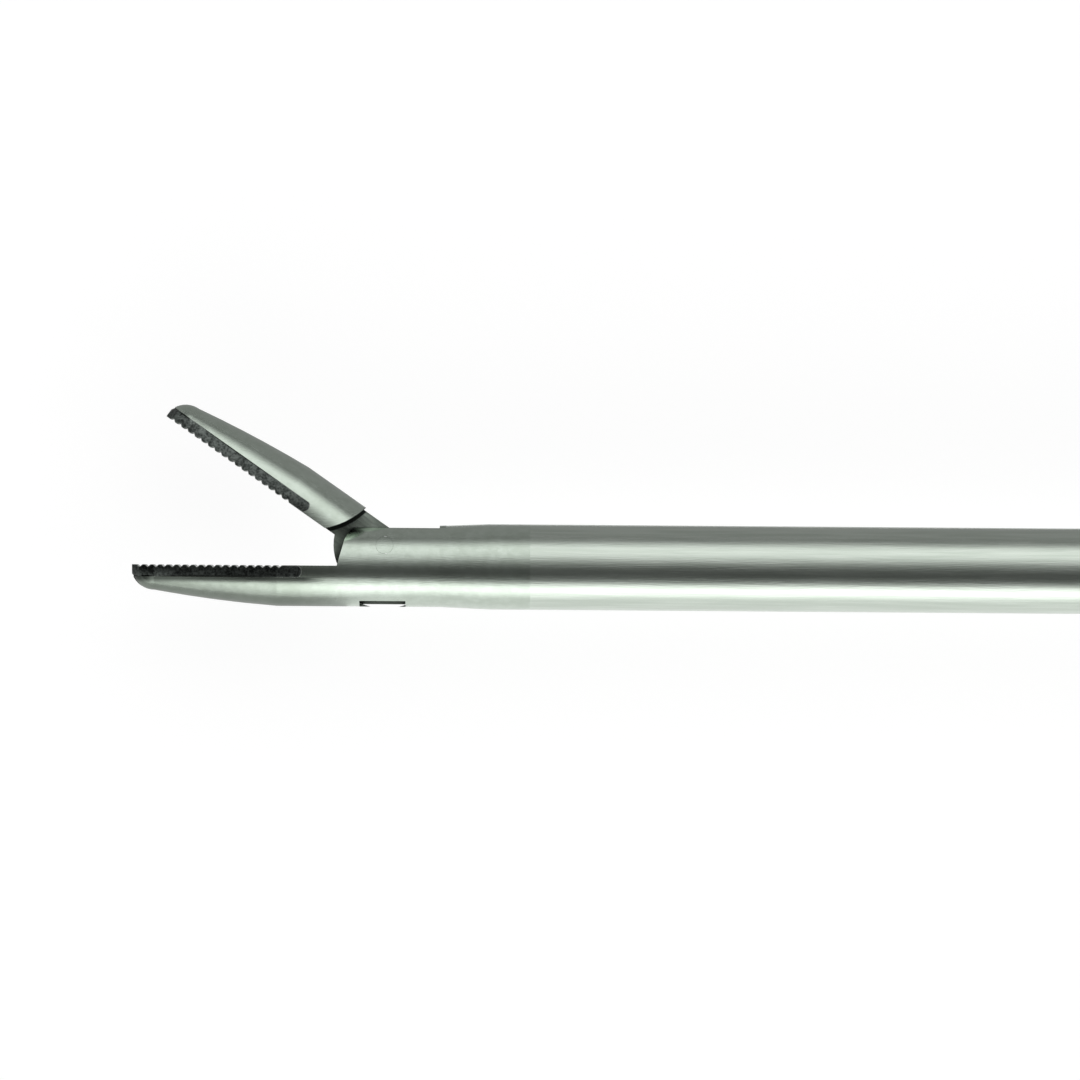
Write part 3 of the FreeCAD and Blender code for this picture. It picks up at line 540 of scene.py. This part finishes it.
def build_world():
    """White beyond the sweep, for the camera, reflections and glass."""
    world = bpy.data.worlds.new("white")
    bpy.context.scene.world = world
    tree = empty_tree(world)
    white = add(tree, "ShaderNodeBackground", {},
                {"Color": grey(1), "Strength": seen_directly(tree)})
    add(tree, "ShaderNodeOutputWorld", {}, {"Surface": white})


LAMP_PLACE = (0.95, -0.6, 1.0)
LAMP_SIZE = (1.2, 0.7)
LAMP_WATTS = 4.0


def build_lamp():
    """A wide soft lamp behind the handle, for soft modelling of its faces."""
    data = bpy.data.lights.new("softbox", "AREA")
    data.shape = "RECTANGLE"
    data.size, data.size_y = LAMP_SIZE
    data.energy = LAMP_WATTS
    lamp = bpy.data.objects.new("softbox", data)
    lamp.location = LAMP_PLACE
    lamp.rotation_euler = (-lamp.location).to_track_quat("-Z", "Y").to_euler()
    bpy.context.scene.collection.objects.link(lamp)


def build_camera(tip_x):
    """The photograph's view: straight down on the jaws, with the shaft off to the right."""
    data = bpy.data.cameras.new("camera")
    data.sensor_width = SENSOR
    data.lens = SENSOR * VIEW_HEIGHT / VIEW_WIDE
    data.clip_start, data.clip_end = 0.01, 50
    camera = bpy.data.objects.new("camera", data)
    camera.location = (tip_x + VIEW_PAST_TIP, VIEW_OFF_AXIS, VIEW_HEIGHT)
    camera.rotation_euler = (0, 0, math.radians(VIEW_TURN))
    bpy.context.scene.collection.objects.link(camera)
    bpy.context.scene.camera = camera


TIP_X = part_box("tip_body")[0].x
FLAG_FRONT = TIP_X - 30 * MM
JAW_SIDE, OPEN_SIDE = -2.6 * MM, 4.5 * MM   # borders of the flags beside the shaft's axis

level_sheet("floor", (-SWEEP_HALF, SWEEP_HALF), (-SWEEP_HALF, SWEEP_HALF), CAD_BOX[0].z,
            white_sweep)
build_flag("shaft_flag", (FLAG_FRONT, -5 * MM), (OPEN_SIDE, 8.0), 0.31)
build_flag("jaw_flag", (FLAG_FRONT, TIP_X + 12.4 * MM), (-40 * MM, JAW_SIDE), 0.5)
build_flag("tip_flag", (FLAG_FRONT, TIP_X - 0.4 * MM), (JAW_SIDE, OPEN_SIDE), 0.05)
build_tent()
build_world()
build_lamp()
build_camera(TIP_X)
bpy.context.scene.view_settings.view_transform = "Standard"
